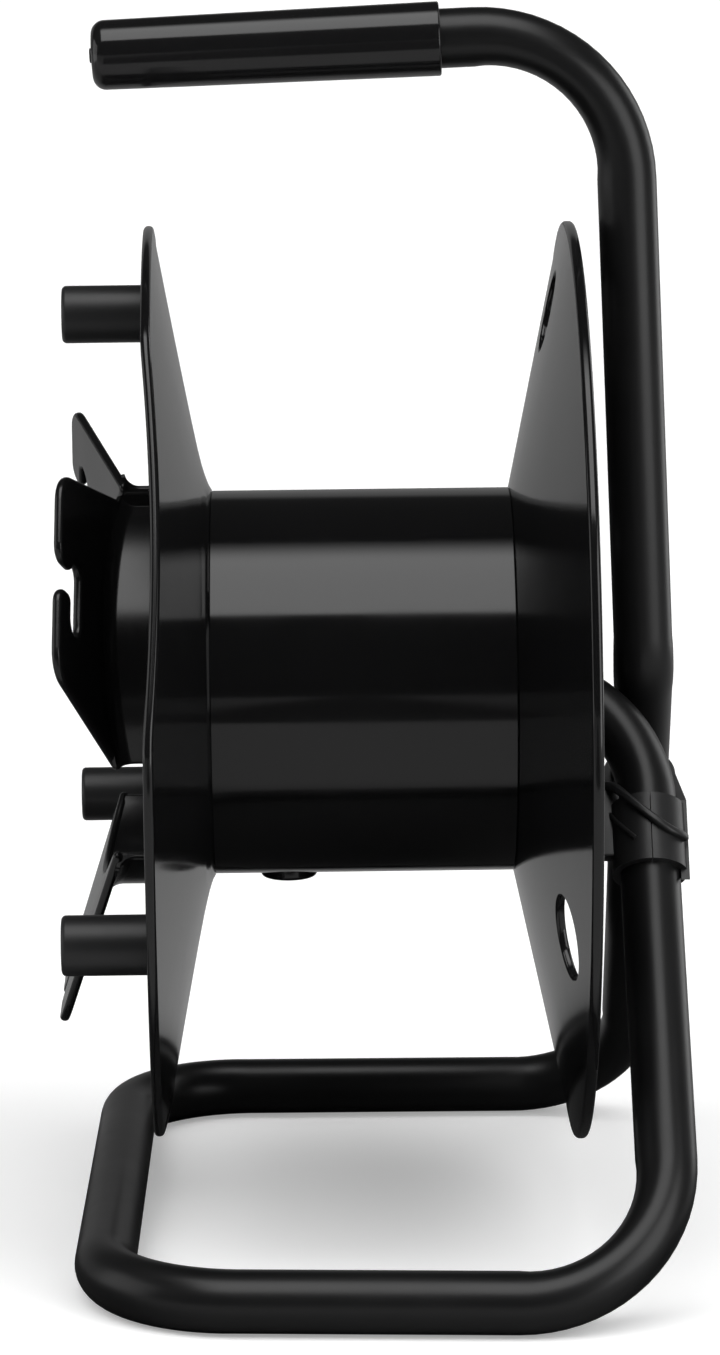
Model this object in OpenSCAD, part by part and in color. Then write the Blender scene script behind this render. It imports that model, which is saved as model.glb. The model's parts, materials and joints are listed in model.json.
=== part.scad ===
// Hand-carried hose reel: a spool on one bent tube that is handle, legs, floor loop and axle.
// X runs along the axle, Z is up, the reel stands on Z = 0 and the frame is spread evenly about Y = 0.
// Lengths along X are first counted from the middle of the spool, then moved so that the
// origin lies under the middle of the whole object.

/* [Frame tube] */
// Outer diameter of the tube
tube_d = 19; // [16:0.5:22]
// Wall of the tube
tube_wall = 1.5; // [1:0.1:2.5]
// Height of the handle's centre line above the floor, over the spool's middle
handle_z = 382; // [370:1:420]
// Rise of the handle towards the upright, in degrees
handle_rise = 2.8; // [0:0.1:5]
// Open end of the tube inside the grip
handle_end_x = -82; // [-84:1:-40]
// Corner between handle and upright
handle_corner_x = 82.6; // [76:0.2:90]
// Bend radius of the handle corner
handle_bend_r = 47; // [35:1:55]
// Knee where the upright turns into the back leg
knee_x = 91; // [88:0.2:95]
// Height of the knee
knee_z = 181; // [178:1:192]
// Bend radius of the knee
knee_bend_r = 28; // [25:1:40]
// Foot corner of the front leg
front_foot_x = 92; // [88:0.5:98]
// Foot corner of the back leg
back_foot_x = 95; // [88:0.5:98]
// Bend radius at the front foot
front_foot_r = 45; // [35:1:50]
// Bend radius at the back foot
back_foot_r = 40; // [35:1:50]
// Side bar of the floor loop, under the free end of the spool
side_bar_x = -80; // [-90:1:-76]
// Half the depth of the floor loop under the spool's middle
loop_half = 130.2; // [120:1:150]
// Outward splay of the floor bars towards the legs, in degrees
loop_splay = 1.55; // [0:0.05:3]
// Bend radius of the side bar's corners
loop_bend_r = 42; // [35:1:50]
// Corner between front leg and axle
axle_corner_x = 89.6; // [86:0.2:92]
// Bend radius between front leg and axle
axle_bend_r = 46; // [40:1:48]

/* [Grip] */
// Closed end of the grip
grip_left_x = -86.2; // [-95:0.2:-84]
// Length of the grip
grip_len = 111; // [90:1:125]
// Outer diameter at the open end
grip_d_open = 23.8; // [22.5:0.1:28]
// Outer diameter at the closed end
grip_d_closed = 22.2; // [22:0.1:26]

/* [Spool] */
// Height of the axle's centre line at the spool's middle
axle_z = 176.5; // [174:0.5:190]
// Rise of the axle towards the legs, in degrees
axle_rise = 0.65; // [0:0.05:1]
// Turn of the spool at rest, in degrees
spool_turn = 2; // [0:1:119]
// Outer radius of the barrel
barrel_r = 61.7; // [58:0.1:64]
// Wall of the barrel
barrel_wall = 2.6; // [2:0.1:4]
// Half the length of the barrel
barrel_half = 48; // [46:0.5:50]
// Outer radius of the flanges
rim_r = 147.4; // [140:0.2:150]
// Distance of a rim's inner face from the spool's middle
rim_x = 66.4; // [64:0.2:68]
// Thickness of the flange skin
skin = 3; // [2.4:0.1:3.6]
// Distance of the three flats on the free flange from the axle
flat_r = 133; // [130:0.5:140]
// Radius of the circle of the grab holes
hole_circle_r = 119; // [112:1:122]
// Diameter of the grab holes
hole_d = 26; // [18:1:30]

/* [Pegs and hooks] */
// Radius of the circle of the pegs
peg_circle_r = 120; // [112:1:122]
// Outer diameter of a peg
peg_d = 18.4; // [16:0.2:20]
// Free end of a peg
peg_end_x = 96.3; // [88:0.1:100]
// Outer radius of the hooks' curved walls
hook_wall_r = 64.6; // [63.5:0.1:65.5]
// Half the angle that a hook's wall spans
hook_half_angle = 42; // [30:1:44]
// Where a hook's wall turns into its plate
hook_neck_x = 81; // [76:0.5:84]
// Lean of a hook's plate away from the flange, in degrees
hook_lean = 17; // [10:1:22]
// Length of a hook's plate beyond its wall
hook_reach = 46; // [36:1:50]
// Half the width of the plate at its outer edge
hook_half_tip = 32; // [26:1:36]

/* [Hidden] */
$fn = 64;

// Small allowances
fit_gap = 0.05;      // a running fit, on the radius
part_gap = 0.3;      // between pieces that pass each other
lap = 0.5;           // how far a cutting tool runs past a face

tube_r = tube_d / 2;
bend_thinning = 0.03;    // a bend's wall is this much thinner on each face than a straight run's
bend_lap = 0.8;          // how far a straight run reaches into a bend
loop_z = tube_r;

// Half the depth of the floor loop at x
function loop_y(x) = loop_half + x * tan(loop_splay);

// Axle line: where it is at a distance along itself from the spool's middle
function axle_point(s) = [s * cos(axle_rise), 0, axle_z + s * sin(axle_rise)];

// Corners of the tube, from the open end in the grip to the end of the axle, and the bend radii
function handle_at(x) = [x, 0, handle_z + x * tan(handle_rise)];
axle_end_s = -51.3;
tube_corners = [
    handle_at(handle_end_x),
    handle_at(handle_corner_x),
    [knee_x, 0, knee_z],
    [back_foot_x, loop_y(back_foot_x), loop_z],
    [side_bar_x, loop_y(side_bar_x), loop_z],
    [side_bar_x, -loop_y(side_bar_x), loop_z],
    [front_foot_x, -loop_y(front_foot_x), loop_z],
    axle_point(axle_corner_x),
    axle_point(axle_end_s)];
tube_bends = [0, handle_bend_r, knee_bend_r, back_foot_r, loop_bend_r, loop_bend_r,
    front_foot_r, axle_bend_r, 0];
front_foot = tube_corners[6];
front_top = tube_corners[7];
back_foot = tube_corners[3];
back_top = tube_corners[2];

// Leg clamp: two halves that make a collar round each leg, a web between them and a face plate
collar_low_z = 121.5;    // heights where a collar's ends cross the leg's centre line
collar_top_z = 139.7;
clamp_wall = 2.4;        // wall of the collars
clamp_split_x = 90.4;    // where the halves part
clamp_web = 9;           // thickness of the web between the collars
web_low_z = 119;
web_top_z = 146;
clamp_face_x = 102.5;    // flat outer face
face_low_z = 121;
face_top_z = 143;
face_margin = 5;         // how far the face plate runs past the legs' centre lines
face_t = 2.7;
clamp_boss_r = 8;
clamp_screw_z = 132;
clamp_screw_r = 3;
clamp_head_r = 5;
clamp_head_h = 3.5;
clamp_sink = 4;          // depth of the head's pocket
clamp_nut_r = 5.6;
clamp_nut_h = 4;
clamp_boss_x = 80;       // face under the nut
clamp_grip = clamp_face_x - clamp_sink - clamp_boss_x;

// Hub and axle fittings, along the axle
hub_inner_s = 18;
hub_r = 16;
bush_r = 12.5;
bush_lip_r = 15;
bush_lip = 1.5;
bush_end_s = 40.2;
ring_s = 40.5;
ring_w = 3;
ring_r = 12;
washer_t = 1.5;
washer_r = 14;
axle_screw_r = 2.5;
axle_screw_head_r = 5.5;
axle_screw_head_h = 3.5;
axle_screw_len = 15;
plug_len = 18;

// Flanges
slope = (rim_x - barrel_half) / (rim_r - barrel_r);
function face_s(r) = barrel_half + (r - barrel_r) * slope;   // the cone's inner face
bead_r = 1.8;                  // rounded rim
wall_out_s = barrel_half + skin;
step_r = hook_wall_r + 1.2;    // where the cone starts on the outside
spigot = 5;                    // how far a flange reaches into the barrel
spigot_wall = 2.4;
rib_count = 6;
rib_turn = 30;                 // angle of the first rib
rib_t = 2.4;
rib_tall = 5;                  // height over the skin near the hub
rib_low = 0.6;                 // height over the skin near the rim
rib_in_r = step_r + 1.6;
rib_out_r = rim_r - 9;
post_r = 7;
peg_foot_r = 11.6;
peg_foot_s = 66.6;
peg_r = peg_d / 2;
peg_end_wall = 2.8;
peg_round = 1.6;
peg_angles = [0, 120, 240];
hook_angles = [60, 180, 300];

// Hooks
hook_wall = 3;
hook_tab = 3;
hook_tab_in_r = 47;
hook_tab_half = 30;
hook_screw_circle = 53;
hook_screw_half = 20;
hook_screw_r = 2;
hook_screw_head_r = 3.8;
hook_screw_head_h = 2.4;
hook_screw_len = 10;
hook_boss_r = 4;
hook_boss_h = 5;
hook_corner_r = 9;
hook_mouth = 8;
hook_slot = 9;
hook_slot_reach = 14;
hook_slot_depth = 15;

// Tie bolts
tie_circle_r = 40;
tie_r = 2.5;
tie_head_r = 4.6;
tie_head_h = 3.5;
tie_nut_h = 4;

// Cap and button
cap_r = 20;
cap_wall = 2;
cap_len = 11;
button_x = -24.5;
button_r = 9.2;
button_h = 2.6;
button_stem_r = 5.5;
button_stem = 6;

// Middle of the whole object along X, between the hooks' tips and the outer foot
hook_tip_x = hook_neck_x + hook_reach * sin(hook_lean) + hook_wall * cos(hook_lean);
middle_x = (max(back_foot_x, front_foot_x) + tube_r - hook_tip_x) / 2;

function unit(v) = v / norm(v);

// Moves a piece from the spool's middle to the object's own origin
module placed() translate([-middle_x, 0, 0]) children();

// Puts local Z along the axle, at the spool's middle
module on_axle() placed() translate([0, 0, axle_z]) rotate([0, 90 - axle_rise, 0]) children();

// Turns a piece of the spool so that local X points to an angle from the top towards the front
module at_angle(a) rotate([0, 0, 180 + spool_turn + a]) children();

// The leg end of the spool as drawn, or mirrored to the free end
module free_end() mirror([0, 0, 1]) children();

// Solid round bar from a to b
module bar(a, b, r) {
    d = b - a;
    translate(a)
        rotate([0, acos(d[2] / norm(d)), atan2(d[1], d[0])])
            cylinder(h = norm(d), r = r);
}

// Hollow bar from a to b
module pipe(a, b) {
    d = b - a;
    translate(a)
        rotate([0, acos(d[2] / norm(d)), atan2(d[1], d[0])])
            linear_extrude(norm(d))
                tube_section(0);
}

// Ring section of the tube; a bend's wall is drawn thinner on both faces
module tube_section(thinned) {
    difference() {
        circle(r = tube_r - thinned);
        circle(r = tube_r - tube_wall + thinned);
    }
}

function turn_angle(a, b, c) = acos(-(unit(a - b) * unit(c - b)));
function tangent_len(a, b, c, r) = r * tan(turn_angle(a, b, c) / 2);

// Bend of radius r at corner b, between the runs from a and to c, with its section as the child
module bend(a, b, c, r) {
    u = unit(a - b);
    v = unit(c - b);
    turn = turn_angle(a, b, c);
    centre = b + unit(u + v) * r / cos(turn / 2);
    start = b + u * tangent_len(a, b, c, r);
    ex = unit(start - centre);
    ey = -u;
    ez = cross(ex, ey);
    multmatrix([
        [ex[0], ey[0], ez[0], centre[0]],
        [ex[1], ey[1], ez[1], centre[1]],
        [ex[2], ey[2], ez[2], centre[2]]])
        rotate_extrude(angle = turn)
            translate([r, 0])
                children();
}

module bent_tube(corners, radii) {
    last = len(corners) - 1;
    cut = [for (i = [0:last])
        (i == 0 || i == last) ? 0 : tangent_len(corners[i - 1], corners[i], corners[i + 1], radii[i])];
    for (i = [0:last - 1]) {
        along = unit(corners[i + 1] - corners[i]);
        from = (i == 0) ? 0 : cut[i] - bend_lap;
        to = (i + 1 == last) ? 0 : cut[i + 1] - bend_lap;
        pipe(corners[i] + along * from, corners[i + 1] - along * to);
    }
    for (i = [1:last - 1])
        bend(corners[i - 1], corners[i], corners[i + 1], radii[i])
            tube_section(bend_thinning);
}

module frame_tube() {
    color("#1b1b1c")
        placed()
            bent_tube(tube_corners, tube_bends);
}

module handle_grip() {
    open_r = grip_d_open / 2;
    closed_r = grip_d_closed / 2;
    end_wall = 3.4;
    round_r = 4;
    nub_r = 2.4;
    nub_h = 0.8;
    lip = 0.6;
    color("#0c0c0d")
        placed()
            translate(handle_at(grip_left_x))
                rotate([0, 90 - handle_rise, 0])
                    rotate_extrude()
                        difference() {
                            union() {
                                polygon([
                                    [0, 0],
                                    [closed_r - round_r, 0],
                                    [closed_r, round_r],
                                    [open_r, grip_len - lip],
                                    [open_r - lip, grip_len],
                                    [0, grip_len]]);
                                translate([closed_r - round_r, round_r])
                                    circle(r = round_r);
                                translate([0, -nub_h])
                                    square([nub_r, nub_h + 1]);
                            }
                            translate([0, end_wall])
                                square([tube_r + fit_gap, grip_len]);
                        }
}

// Point of a leg's centre line at height z
function leg_at(foot, top, z) = foot + (top - foot) * (z - foot[2]) / (top[2] - foot[2]);

module leg_bars(r) {
    bar(front_foot, front_top, r);
    bar(back_foot, back_top, r);
}

module leg_collar(foot, top) {
    bar(leg_at(foot, top, collar_low_z), leg_at(foot, top, collar_top_z), tube_r + clamp_wall);
}

// Upright plate between the legs' centre lines, widened by a margin on each side
module plate_between_legs(x0, x1, low_z, top_z, margin) {
    front_low = leg_at(front_foot, front_top, low_z)[1] - margin;
    front_high = leg_at(front_foot, front_top, top_z)[1] - margin;
    back_low = leg_at(back_foot, back_top, low_z)[1] + margin;
    back_high = leg_at(back_foot, back_top, top_z)[1] + margin;
    translate([x0, 0, 0])
        rotate([90, 0, 90])
            linear_extrude(x1 - x0)
                polygon([
                    [front_low, low_z], [back_low, low_z],
                    [back_high, top_z], [front_high, top_z]]);
}

// Both halves as one, before they are parted
module clamp_whole() {
    leg_collar(front_foot, front_top);
    leg_collar(back_foot, back_top);
    plate_between_legs(clamp_split_x - clamp_web / 2, clamp_split_x + clamp_web / 2,
        web_low_z, web_top_z, 0);
    plate_between_legs(clamp_face_x - face_t, clamp_face_x, face_low_z, face_top_z, face_margin);
    translate([clamp_boss_x, 0, clamp_screw_z])
        rotate([0, 90, 0])
            cylinder(h = clamp_face_x - clamp_boss_x, r = clamp_boss_r);
}

module clamp_cuts() {
    leg_bars(tube_r + fit_gap);
    bend(front_foot, front_top, axle_point(axle_end_s), axle_bend_r)
        circle(r = tube_r + fit_gap);
    translate([clamp_boss_x - lap, 0, clamp_screw_z])
        rotate([0, 90, 0])
            cylinder(h = clamp_face_x - clamp_boss_x + 2 * lap, r = clamp_screw_r + fit_gap);
    translate([clamp_face_x - clamp_sink, 0, clamp_screw_z])
        rotate([0, 90, 0])
            cylinder(h = clamp_sink + lap, r = clamp_head_r + part_gap);
}

// The clamp's material on one side of the parting plane: -1 towards the spool, 1 away from it
module clamp_half(side) {
    far = 100;
    shift = (side > 0) ? -2 * far : 0;
    difference() {
        clamp_whole();
        clamp_cuts();
        translate([clamp_split_x - side * -part_gap / 2 + shift, -far, 0])
            cube([2 * far, 2 * far, 2 * far]);
    }
}

module clamp_inner() {
    color("#202123")
        placed()
            clamp_half(-1);
}

module clamp_outer() {
    color("#232426")
        placed()
            clamp_half(1);
}

module clamp_screw() {
    socket_r = 2.6;
    socket_h = 2;
    color("#8f9296")
        placed()
            translate([clamp_face_x - clamp_sink, 0, clamp_screw_z])
                rotate([0, 90, 0])
                    difference() {
                        union() {
                            cylinder(h = clamp_head_h, r = clamp_head_r);
                            translate([0, 0, -clamp_grip - clamp_nut_h - 1])
                                cylinder(h = clamp_grip + clamp_nut_h + 1, r = clamp_screw_r);
                        }
                        translate([0, 0, clamp_head_h - socket_h])
                            cylinder(h = socket_h + lap, r = socket_r, $fn = 6);
                    }
}

module hex_nut(r, h, bore_r) {
    linear_extrude(h)
        difference() {
            circle(r = r, $fn = 6);
            circle(r = bore_r);
        }
}

module clamp_nut() {
    color("#8f9296")
        placed()
            translate([clamp_boss_x - clamp_nut_h, 0, clamp_screw_z])
                rotate([0, 90, 0])
                    hex_nut(clamp_nut_r, clamp_nut_h, clamp_screw_r + fit_gap);
}

module axle_plug() {
    color("#2a2a2a")
        on_axle()
            translate([0, 0, axle_end_s])
                difference() {
                    cylinder(h = plug_len, r = tube_r - tube_wall - fit_gap);
                    translate([0, 0, -lap])
                        cylinder(h = axle_screw_len + lap, r = axle_screw_r + fit_gap);
                }
}

module axle_washer() {
    color("#9a9da1")
        on_axle()
            translate([0, 0, axle_end_s - washer_t])
                linear_extrude(washer_t)
                    difference() {
                        circle(r = washer_r);
                        circle(r = axle_screw_r + fit_gap);
                    }
}

// A screw with a round head and a cross recess; the head lies on Z = 0 and the shank goes to +Z
module round_screw(shank_r, shank, head_r, head_h) {
    cross_w = head_r * 0.28;
    cross_l = head_r * 1.15;
    cross_h = head_h * 0.5;
    difference() {
        union() {
            translate([0, 0, -head_h])
                cylinder(h = head_h, r1 = head_r * 0.8, r2 = head_r);
            cylinder(h = shank, r = shank_r);
        }
        for (turn = [0, 90])
            rotate([0, 0, turn])
                translate([-cross_l / 2, -cross_w / 2, -head_h - lap])
                    cube([cross_l, cross_w, cross_h + lap]);
    }
}

module axle_screw() {
    color("#9a9da1")
        on_axle()
            translate([0, 0, axle_end_s - washer_t])
                round_screw(axle_screw_r, axle_screw_len, axle_screw_head_r, axle_screw_head_h);
}

module axle_stop_ring() {
    color("#9a9da1")
        on_axle()
            translate([0, 0, ring_s])
                linear_extrude(ring_w)
                    difference() {
                        circle(r = ring_r);
                        circle(r = tube_r + fit_gap);
                    }
}

module barrel() {
    color("#0a0a0b")
        on_axle()
            difference() {
                cylinder(h = 2 * barrel_half, r = barrel_r, center = true);
                cylinder(h = 2 * barrel_half + 2 * lap, r = barrel_r - barrel_wall, center = true);
                at_angle(180)
                    translate([0, 0, button_x])
                        rotate([0, 90, 0])
                            cylinder(h = barrel_r + lap, r = button_stem_r + fit_gap);
            }
}

// Half section of a flange: hub, end wall, spigot, cone and rounded rim
module flange_section() {
    rim_in_r = rim_r - bead_r;
    bore_r = bush_r + fit_gap;
    translate([bore_r, hub_inner_s])
        square([hub_r - bore_r, wall_out_s - hub_inner_s]);
    translate([bore_r, barrel_half])
        square([step_r - bore_r, skin]);
    translate([barrel_r - barrel_wall - spigot_wall - fit_gap, barrel_half - spigot])
        square([spigot_wall, spigot + skin]);
    polygon([
        [barrel_r - barrel_wall, barrel_half],
        [barrel_r, barrel_half],
        [rim_in_r, face_s(rim_in_r)],
        [rim_in_r, face_s(rim_in_r) + skin],
        [step_r, face_s(step_r) + skin],
        [step_r, wall_out_s],
        [barrel_r - barrel_wall, wall_out_s]]);
    translate([rim_in_r, face_s(rim_in_r) + bead_r])
        circle(r = bead_r);
}

// Everything on the barrel's side of the cone's inner face, or of a cone that lies outside it
module inside_of_skin(outwards) {
    far_r = rim_r + 10;
    rotate_extrude()
        polygon([
            [0, 0],
            [far_r, 0],
            [far_r, face_s(far_r) + outwards],
            [0, face_s(0) + outwards]]);
}

// Radial ribs on the outside of a flange, tallest near the hub
module flange_ribs() {
    sunk = 1;
    for (i = [0:rib_count - 1])
        at_angle(rib_turn + i * 360 / rib_count)
            difference() {
                translate([0, rib_t / 2, 0])
                    rotate([90, 0, 0])
                        linear_extrude(rib_t)
                            polygon([
                                [rib_in_r, face_s(rib_in_r) + sunk],
                                [rib_out_r, face_s(rib_out_r) + sunk],
                                [rib_out_r, face_s(rib_out_r) + skin + rib_low],
                                [rib_in_r, face_s(rib_in_r) + skin + rib_tall]]);
                inside_of_skin(sunk + 0.2);
            }
}

module tie_holes() {
    for (a = peg_angles)
        at_angle(a)
            translate([tie_circle_r, 0, barrel_half - lap])
                cylinder(h = skin + 2 * lap, r = tie_r + fit_gap);
}

module leg_flange() {
    color("#0b0b0c")
        on_axle()
            difference() {
                union() {
                    rotate_extrude()
                        flange_section();
                    flange_ribs();
                }
                tie_holes();
                for (a = peg_angles)
                    at_angle(a)
                        translate([hole_circle_r, 0, barrel_half])
                            cylinder(h = 2 * skin + rim_x - barrel_half, r = hole_d / 2);
            }
}

// A post with a flat-topped round foot on the cone
module peg_post() {
    difference() {
        translate([peg_circle_r, 0, barrel_half]) {
            cylinder(h = peg_end_x - peg_end_wall - barrel_half, r = post_r);
            cylinder(h = peg_foot_s - barrel_half, r = peg_foot_r);
        }
        inside_of_skin(skin / 2);
    }
}

module free_flange() {
    cut = 40;
    color("#0b0b0c")
        on_axle()
            free_end()
                difference() {
                    union() {
                        rotate_extrude()
                            flange_section();
                        flange_ribs();
                        for (a = peg_angles)
                            at_angle(a)
                                peg_post();
                        for (a = hook_angles)
                            at_angle(a)
                                for (side = [-1, 1])
                                    rotate([0, 0, side * hook_screw_half])
                                        translate([hook_screw_circle, 0, barrel_half - hook_boss_h])
                                            cylinder(h = hook_boss_h + 1, r = hook_boss_r);
                    }
                    tie_holes();
                    for (a = hook_angles)
                        at_angle(a) {
                            translate([flat_r, -rim_r, 0])
                                cube([cut, 2 * rim_r, peg_end_x]);
                            for (side = [-1, 1])
                                rotate([0, 0, side * hook_screw_half])
                                    translate([hook_screw_circle, 0, barrel_half - hook_boss_h - lap])
                                        cylinder(h = hook_boss_h + skin + 2 * lap, r = hook_screw_r + fit_gap);
                        }
                }
}

// A bush with a lip at its inner end
module bush(end_s) {
    rotate_extrude()
        polygon([
            [tube_r + fit_gap, hub_inner_s - bush_lip],
            [bush_lip_r, hub_inner_s - bush_lip],
            [bush_lip_r, hub_inner_s],
            [bush_r, hub_inner_s],
            [bush_r, end_s],
            [tube_r + fit_gap, end_s]]);
}

module bush_leg_end() {
    color("#d8d5cb")
        on_axle()
            bush(bush_end_s);
}

module bush_free_end() {
    color("#d8d5cb")
        on_axle()
            free_end()
                bush(-axle_end_s - part_gap);
}

// A flat plate that narrows to rounded corners, with a hooked slot in its outer edge
module hook_plate_outline() {
    root_x = -18;
    root_half = hook_wall_r * sin(hook_half_angle) + 2;
    fall = (hook_half_tip - root_half) / (hook_reach - root_x);
    tip_x = hook_reach - hook_corner_r;
    corner_y = root_half + (tip_x - root_x) * fall - hook_corner_r * sqrt(1 + fall * fall);
    away = unit([-fall, 1]) * hook_corner_r;
    difference() {
        union() {
            polygon([
                [root_x, -root_half],
                [tip_x + away[0], -corner_y - away[1]],
                [tip_x, -corner_y],
                [hook_reach, -corner_y],
                [hook_reach, corner_y],
                [tip_x, corner_y],
                [tip_x + away[0], corner_y + away[1]],
                [root_x, root_half]]);
            for (side = [-1, 1])
                translate([tip_x, side * corner_y])
                    circle(r = hook_corner_r);
        }
        translate([hook_reach - hook_slot_depth, -hook_mouth / 2])
            square([hook_slot_depth + lap, hook_mouth]);
        for (y = [0, hook_slot_reach])
            translate([hook_reach - hook_slot_depth, y])
                circle(r = hook_slot / 2);
        translate([hook_reach - hook_slot_depth - hook_slot / 2, 0])
            square([hook_slot, hook_slot_reach]);
    }
}

// One hook: a foot on the end wall, a curved wall and a leaning plate
module hose_hook(index) {
    color("#161617")
        on_axle()
            free_end()
                at_angle(hook_angles[index])
                    difference() {
                        union() {
                            rotate_extrude(angle = 2 * hook_half_angle, start = -hook_half_angle)
                                translate([hook_wall_r - hook_wall, wall_out_s])
                                    square([hook_wall, hook_neck_x + 1 - wall_out_s]);
                            rotate_extrude(angle = 2 * hook_tab_half, start = -hook_tab_half)
                                translate([hook_tab_in_r, wall_out_s])
                                    square([hook_wall_r - hook_tab_in_r - 1, hook_tab]);
                            translate([hook_wall_r - hook_wall, 0, hook_neck_x])
                                rotate([0, -hook_lean, 0])
                                    linear_extrude(hook_wall)
                                        hook_plate_outline();
                        }
                        translate([0, 0, wall_out_s + hook_tab])
                            cylinder(h = peg_end_x, r = hook_wall_r - hook_wall);
                        for (side = [-1, 1])
                            rotate([0, 0, side * hook_screw_half])
                                translate([hook_screw_circle, 0, wall_out_s - lap])
                                    cylinder(h = hook_tab + 2 * lap, r = hook_screw_r + fit_gap);
                    }
}

module hook_screws() {
    color("#8f9296")
        on_axle()
            for (a = hook_angles)
                at_angle(a)
                    for (side = [-1, 1])
                        rotate([0, 0, side * hook_screw_half])
                            translate([hook_screw_circle, 0, -wall_out_s - hook_tab])
                                round_screw(hook_screw_r, hook_screw_len, hook_screw_head_r,
                                    hook_screw_head_h);
}

// A closed sleeve with a rounded end, pushed over a post down to its foot
module winding_peg(index) {
    start_s = peg_foot_s + fit_gap;
    color("#1a1a1b")
        on_axle()
            free_end()
                at_angle(peg_angles[index])
                    translate([peg_circle_r, 0, 0])
                        rotate_extrude() {
                            translate([post_r + fit_gap, start_s])
                                square([peg_r - post_r - fit_gap, peg_end_x - peg_round - start_s]);
                            translate([0, peg_end_x - peg_end_wall])
                                square([peg_r - peg_round, peg_end_wall]);
                            translate([peg_r - peg_round, peg_end_x - peg_round])
                                intersection() {
                                    circle(r = peg_round);
                                    square(peg_round);
                                }
                        }
}

module tie_bolts() {
    socket_r = 2.4;
    socket_h = 2;
    color("#8f9296")
        on_axle()
            for (a = peg_angles)
                at_angle(a)
                    translate([tie_circle_r, 0, 0])
                        difference() {
                            union() {
                                translate([0, 0, -wall_out_s - tie_nut_h - 1])
                                    cylinder(h = 2 * wall_out_s + tie_nut_h + 1, r = tie_r);
                                translate([0, 0, wall_out_s])
                                    cylinder(h = tie_head_h, r = tie_head_r);
                            }
                            translate([0, 0, wall_out_s + tie_head_h - socket_h])
                                cylinder(h = socket_h + lap, r = socket_r, $fn = 6);
                        }
}

module tie_nuts() {
    color("#8f9296")
        on_axle()
            for (a = peg_angles)
                at_angle(a)
                    translate([tie_circle_r, 0, -wall_out_s - tie_nut_h])
                        hex_nut(tie_head_r, tie_nut_h, tie_r + fit_gap);
}

module hub_cap() {
    round_r = 3;
    color("#0d0d0e")
        on_axle()
            free_end()
                rotate_extrude() {
                    translate([cap_r - cap_wall, wall_out_s])
                        square([cap_wall, cap_len - round_r]);
                    translate([0, wall_out_s + cap_len - cap_wall])
                        square([cap_r - round_r, cap_wall]);
                    translate([cap_r - round_r, wall_out_s + cap_len - round_r])
                        intersection() {
                            difference() {
                                circle(r = round_r);
                                circle(r = round_r - cap_wall);
                            }
                            square(round_r);
                        }
                }
}

module anchor_button() {
    edge = 0.8;
    color("#0d0d0e")
        on_axle()
            at_angle(180) {
                difference() {
                    translate([0, 0, button_x])
                        rotate([0, 90, 0])
                            union() {
                                cylinder(h = barrel_r + button_h - edge, r = button_r);
                                translate([0, 0, barrel_r + button_h - edge])
                                    cylinder(h = edge, r1 = button_r, r2 = button_r - edge);
                            }
                    cylinder(h = 2 * barrel_half, r = barrel_r, center = true);
                }
                translate([barrel_r - button_stem, 0, button_x])
                    rotate([0, 90, 0])
                        cylinder(h = button_stem + 1, r = button_stem_r);
            }
}

frame_tube();
handle_grip();
clamp_inner();
clamp_outer();
clamp_screw();
clamp_nut();
axle_plug();
axle_screw();
axle_washer();
axle_stop_ring();
barrel();
free_flange();
leg_flange();
bush_free_end();
bush_leg_end();
hose_hook(0);  // hose_hook_1
hose_hook(1);  // hose_hook_2
hose_hook(2);  // hose_hook_3
winding_peg(0);  // winding_peg_1
winding_peg(1);  // winding_peg_2
winding_peg(2);  // winding_peg_3
hook_screws();
tie_bolts();
tie_nuts();
hub_cap();
anchor_button();
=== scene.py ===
"""Looks of the hand-carried hose reel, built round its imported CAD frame.

Pieces are drawn in millimetres and turned into metres when their mesh is made. X runs along the
axle, Z is up and the floor is at Z = 0. Pieces of the spool are drawn about the axle: local Z runs
along it towards the legs and local -X is up.
"""

import json
import math

import bmesh
import bpy
from mathutils import Matrix, Vector


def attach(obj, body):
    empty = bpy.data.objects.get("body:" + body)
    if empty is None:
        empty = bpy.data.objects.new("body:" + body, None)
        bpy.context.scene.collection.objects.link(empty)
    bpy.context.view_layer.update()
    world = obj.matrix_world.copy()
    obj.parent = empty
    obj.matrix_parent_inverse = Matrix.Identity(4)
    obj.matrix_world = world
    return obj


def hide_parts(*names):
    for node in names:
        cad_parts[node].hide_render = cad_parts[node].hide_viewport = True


MM = 0.001

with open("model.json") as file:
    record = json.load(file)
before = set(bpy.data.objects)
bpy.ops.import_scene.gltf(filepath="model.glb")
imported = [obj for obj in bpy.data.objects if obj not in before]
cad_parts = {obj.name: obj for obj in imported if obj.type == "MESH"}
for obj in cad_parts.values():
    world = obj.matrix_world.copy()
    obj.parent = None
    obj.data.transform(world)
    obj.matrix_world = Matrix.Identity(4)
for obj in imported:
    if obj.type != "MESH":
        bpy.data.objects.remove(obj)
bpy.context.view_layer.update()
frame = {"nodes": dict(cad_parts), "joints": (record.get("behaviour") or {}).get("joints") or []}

# ---------------------------------------------------------------- sizes, in millimetres

TUBE_R = 9.5
TUBE_WALL = 1.5
BEND_FLATTENING = 1.5        # how far a bend's inner side is pressed in

RIM_R = 147.4
LEG_RIM_THICK = 3.5
OPEN_RIM_THICK = 3.0
SPIGOT_IN_R = 56.65          # the ring that enters the barrel
SPIGOT_OUT_R = 59.05
SPIGOT_END = 43
BARREL_R = 61.7
BARREL_WALL = 2.6
BARREL_HALF = 48
SKIN = 3
CONE_SLOPE = (66.4 - BARREL_HALF) / (RIM_R - BARREL_R)
WALL_OUT = BARREL_HALF + SKIN
STEP_R = 65.8                # where the cone starts on the outside
HUB_R = 16
HUB_INNER = 18
BUSH_SEAT_R = 12.55
HOLE_CIRCLE_R = 119
HOLE_R = 13
FLAT_R = 133
TIE_CIRCLE_R = 40
TIE_HOLE_R = 2.55

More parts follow.
